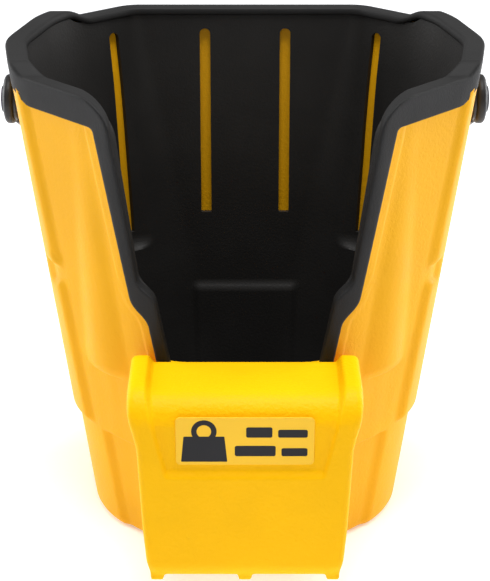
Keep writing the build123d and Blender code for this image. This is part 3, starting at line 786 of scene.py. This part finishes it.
def plate(name, outline, face_y, thickness, material, bevel=0.08):
    """Thin plate facing the front, with a small chamfer round its face."""
    pts = [Vector(p) for p in outline]
    centre = sum(pts, Vector((0.0, 0.0))) / len(pts)
    n = len(pts)
    inset = [p + (centre - p).normalized() * bevel for p in pts]
    rings = [[(p.x, face_y, p.y) for p in inset], [(p.x, face_y + bevel, p.y) for p in pts],
             [(p.x, face_y + thickness, p.y) for p in pts]]
    verts = [v for ring in rings for v in ring]
    faces = [list(range(n)), [2 * n + k for k in range(n)][::-1]]
    for row in range(2):
        for k in range(n):
            m = (k + 1) % n
            faces.append([row * n + k, (row + 1) * n + k, (row + 1) * n + m, row * n + m])
    obj = dress(mesh_object(name, verts, faces, 20.0), material)
    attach(obj, "bucket")
    return obj


def box_outline(x0, x1, z0, z1, r):
    return rounded_outline([(x1, z1, r), (x0, z1, r), (x0, z0, r), (x1, z0, r)])


def ring_mesh(name, x, y, z):
    """Flat ring facing the front, round the point given."""
    turns = [2 * pi * k / RING_STEPS for k in range(RING_STEPS)]
    verts, faces = [], []
    for face_y in (y, y + INK_T):
        for r in (RING_OUT, RING_IN):
            verts += [(x + r * cos(t), face_y, z + r * sin(t)) for t in turns]
    front_out, front_in, back_out, back_in = [RING_STEPS * k for k in range(4)]
    for k in range(RING_STEPS):
        m = (k + 1) % RING_STEPS
        faces.append([front_out + k, front_in + k, front_in + m, front_out + m])
        faces.append([back_out + k, back_out + m, back_in + m, back_in + k])
        faces.append([front_out + k, front_out + m, back_out + m, back_out + k])
        faces.append([front_in + k, back_in + k, back_in + m, front_in + m])
    return mesh_object(name, verts, faces, 20.0)


def build_label():
    outline = box_outline(LABEL_LOW.x, LABEL_HIGH.x, LABEL_LOW.z, LABEL_HIGH.z, LABEL_ROUND)
    film = plate("label_film", outline, LABEL_FACE, LABEL_HIGH.y - LABEL_LOW.y, LABEL_FILM, LABEL_BEVEL)
    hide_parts("load_label")
    ink_y, mid = LABEL_FACE - INK_RISE, LABEL_MID_Z
    foot, top = WEIGHT_Z
    corners = [(WEIGHT_HALF * WEIGHT_TAPER, top), (-WEIGHT_HALF * WEIGHT_TAPER, top),
               (-WEIGHT_HALF, foot), (WEIGHT_HALF, foot)]
    block = rounded_outline([(WEIGHT_X + x, mid + z, WEIGHT_ROUND) for x, z in corners])
    pieces = [plate("label_weight", block, ink_y, INK_T, LABEL_INK, INK_BEVEL)]
    ink_y -= RING_RISE
    ring = dress(ring_mesh("label_weight_ring", WEIGHT_X, ink_y, mid + RING_Z), LABEL_INK)
    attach(ring, "bucket")
    pieces.append(ring)
    for k, (x0, x1, z0, z1) in enumerate(BARS):
        bar = box_outline(x0, x1, mid + z0, mid + z1, BAR_ROUND)
        pieces.append(plate(f"label_bar_{k + 1}", bar, ink_y, INK_T, LABEL_INK, INK_BEVEL))


# ---- handle -------------------------------------------------------------------------------------
PIVOT = Vector(next(j for j in frame["joints"] if j["name"] == "handle_swing")["pos_m"]) / MM
BAIL_REST = radians(-24.0)
# the bail in its own frame: hubs on the X axis, the cross piece at +Y
HUB_IN, HUB_OUT, HUB_R = 111.0, 116.4, 11.9
HUB_FLAT_R, HUB_DOME, HUB_ROUND = 7.0, 0.175, 1.6
PIN_HOLE_R, PIN_HEAD_R, PIN_HEAD_T = 4.05, 6.45, 0.95
ARM_T, ARM_W, BAIL_R, BAIL_BEND, ARM_ROUND = 2.2, 16.0, 92.0, 30.0, 1.4
# stiffening ribs along the inner face of the arms
RIB_HALF_H, RIB_HALF_W, RIB_IN, RIB_START, RIB_BLEND = 1.2, 1.3, 0.2, 34.0, 0.6
GRIP_HALF, GRIP_T, GRIP_W = 48.0, 11.0, 20.0
GRIP_ROUND, GRIP_END_ROUND, GRIP_SHRINK = 4.4, 1.5, 1.2
# finger waves along the grip and the swell at its ends
WAVE, WAVE_LENGTH, WAVE_END, SWELL, SWELL_START = 0.55, 9.0, 40.0, 1.4, 43.5


def fold(points):
    """From the bail's own frame (reaching along +Y) to its folded place behind the bucket."""
    x, y, z = points.T
    return np.stack([x, PIVOT.y + y * cos(BAIL_REST) - z * sin(BAIL_REST),
                     PIVOT.z + y * sin(BAIL_REST) + z * cos(BAIL_REST)], -1)


def bail_form(x, y, z):
    ax, from_pin = np.abs(x), np.hypot(y, z)
    outer = quarter_round(ax - HUB_OUT, y - BAIL_R, BAIL_BEND)
    ribbon = np.abs(outer + ARM_T / 2) - ARM_T / 2
    ribbon = soft_max(ribbon, np.abs(z) - ARM_W / 2, ARM_ROUND)
    ribbon = soft_max(ribbon, -y, 0.4)
    rib_edge = np.abs(np.abs(z) - ARM_W / 2 + RIB_HALF_W) - RIB_HALF_W
    rib = np.maximum(np.abs(outer + ARM_T + RIB_IN) - RIB_HALF_H, rib_edge)
    rib = np.maximum(rib, RIB_START - y)
    ribbon = soft_min(ribbon, rib, RIB_BLEND)
    dome = HUB_OUT - HUB_DOME * np.maximum(from_pin - HUB_FLAT_R, 0.0) ** 1.2
    hub = soft_max(from_pin - HUB_R, np.maximum(ax - dome, HUB_IN - ax), HUB_ROUND)
    form = soft_min(ribbon, hub, 0.8)
    form = np.maximum(form, PIN_HOLE_R - from_pin)
    return np.maximum(form, -np.maximum(from_pin - PIN_HEAD_R, HUB_OUT - PIN_HEAD_T - ax))


def grip_form(x, y, z):
    ax = np.abs(x)
    wave = WAVE * np.cos(x * 2 * pi / WAVE_LENGTH) * rise(WAVE_END - ax, 0.0, 3.0)
    swell = SWELL * rise(ax, SWELL_START, 2.5)
    half_t, half_w = [size / 2 - GRIP_SHRINK + swell * 0.5 for size in (GRIP_T, GRIP_W)]
    from_arm = np.abs(y - (BAIL_R - ARM_T / 2))
    section = quarter_round(from_arm - half_t, np.abs(z) - half_w, GRIP_ROUND)
    sleeve = soft_max(section - wave * 0.5, ax - GRIP_HALF, GRIP_END_ROUND)
    slot = np.maximum(from_arm - ARM_T / 2, np.abs(z) - ARM_W / 2)
    return np.maximum(sleeve, -slot)


# boxes that hold the two forms, in the bail's own frame
BAIL_BOX = (-119.0, -14.0, -14.0), (119.0, BAIL_R + 2, 14.0)
GRIP_BOX = (-50.0, BAIL_R - 9, -12.5), (50.0, BAIL_R + 7, 12.5)


def build_handle():
    step = 0.85
    for name, (low, high), form, material, node, slot in (
            ("bail_body", BAIL_BOX, bail_form, HANDLE_BLACK, "bail_handle", "handle_black"),
            ("grip_body", GRIP_BOX, grip_form, RUBBER, "handle_grip", "grip_rubber")):
        obj = dress(sculpt(name, low, high, step, form, fold), material)
        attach(obj, "handle")
        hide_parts(node)


# ---- carried-over CAD pieces --------------------------------------------------------------------
def dress_cad():
    looks = {"hook_rivets": ZINC, "floor_rivets": SMOOTH_BLACK}
    for side in ("left", "right"):
        looks[f"pivot_pin_{side}"] = DARK_STEEL
        looks[f"pivot_washer_{side}"] = SMOOTH_BLACK
        looks[f"pin_retainer_{side}"] = SMOOTH_BLACK
    for node, material in looks.items():
        dress(frame["nodes"][node], material)


# ---- studio -------------------------------------------------------------------------------------
TARGET = Vector((0.0, 0.0, 0.108))
CAMERA_PITCH, CAMERA_REACH = radians(24.0), 0.850
FOCAL_PIXELS, IMAGE_HEIGHT, SENSOR = 1690.0, 581.0, 36.0
FLOOR_HALF, FLOOR_GLOW, WORLD_GLOW = 4.0, 0.27, 0.32
FLOOR_TINTS = [(0.3, (0.91, 0.92, 0.95)), (0.7, (0.93, 0.94, 0.97))]
# name, place in metres, width and height in metres, power in watts; all face the target
LIGHTS = [
    ("key", (0.04, -0.16, 1.45), (0.8, 0.6), 20.5),
    ("side_left", (-1.1, 0.5, 0.4), (0.6, 1.1), 13.0),
    ("side_right", (1.1, 0.5, 0.4), (0.6, 1.1), 13.0),
]


def face_target(obj):
    obj.rotation_euler = (TARGET - obj.location).to_track_quat("-Z", "Y").to_euler()


def area_light(name, place, size, power):
    data = bpy.data.lights.new(name, "AREA")
    data.shape, data.energy = "RECTANGLE", power
    data.size, data.size_y = size
    lamp = bpy.data.objects.new(name, data)
    lamp.location = place
    bpy.context.scene.collection.objects.link(lamp)
    face_target(lamp)


def build_studio():
    scene = bpy.context.scene
    data = bpy.data.cameras.new("camera")
    data.lens, data.sensor_width = FOCAL_PIXELS * SENSOR / IMAGE_HEIGHT, SENSOR
    data.clip_start, data.clip_end = 0.05, 20.0
    camera = bpy.data.objects.new("camera", data)
    camera.location = TARGET + CAMERA_REACH * Vector((0.0, -cos(CAMERA_PITCH), sin(CAMERA_PITCH)))
    scene.collection.objects.link(camera)
    face_target(camera)
    scene.camera = camera
    corners = [(x * FLOOR_HALF, y * FLOOR_HALF, 0) for x, y in ((-1, -1), (1, -1), (1, 1), (-1, 1))]
    floor_mesh = bpy.data.meshes.new("floor")
    floor_mesh.from_pydata(corners, [], [(0, 1, 2, 3)])
    floor = bpy.data.objects.new("floor", floor_mesh)
    scene.collection.objects.link(floor)
    material, tree, shader = nodes_of("floor_paper")
    coords = tree.nodes.new("ShaderNodeTexCoord").outputs["Object"]
    tint = ramp(tree, noise(tree, coords, 3.0).outputs["Fac"], FLOOR_TINTS)
    tree.links.new(tint.outputs["Color"], shader.inputs["Base Color"])
    shader.inputs["Roughness"].default_value = 0.9
    shader.inputs["Emission Color"].default_value = (1.0, 1.0, 1.0, 1.0)
    shader.inputs["Emission Strength"].default_value = FLOOR_GLOW
    floor_mesh.materials.append(material)
    world = bpy.data.worlds.new("studio")
    world.use_nodes = True
    background = world.node_tree.nodes["Background"]
    background.inputs["Color"].default_value = (1.0, 1.0, 1.0, 1.0)
    background.inputs["Strength"].default_value = WORLD_GLOW
    scene.world = world
    for light in LIGHTS:
        area_light(*light)
    scene.view_settings.view_transform = "Standard"


build_shell()
build_liner()
build_guard()
build_hook()
build_label()
build_handle()
dress_cad()
build_studio()
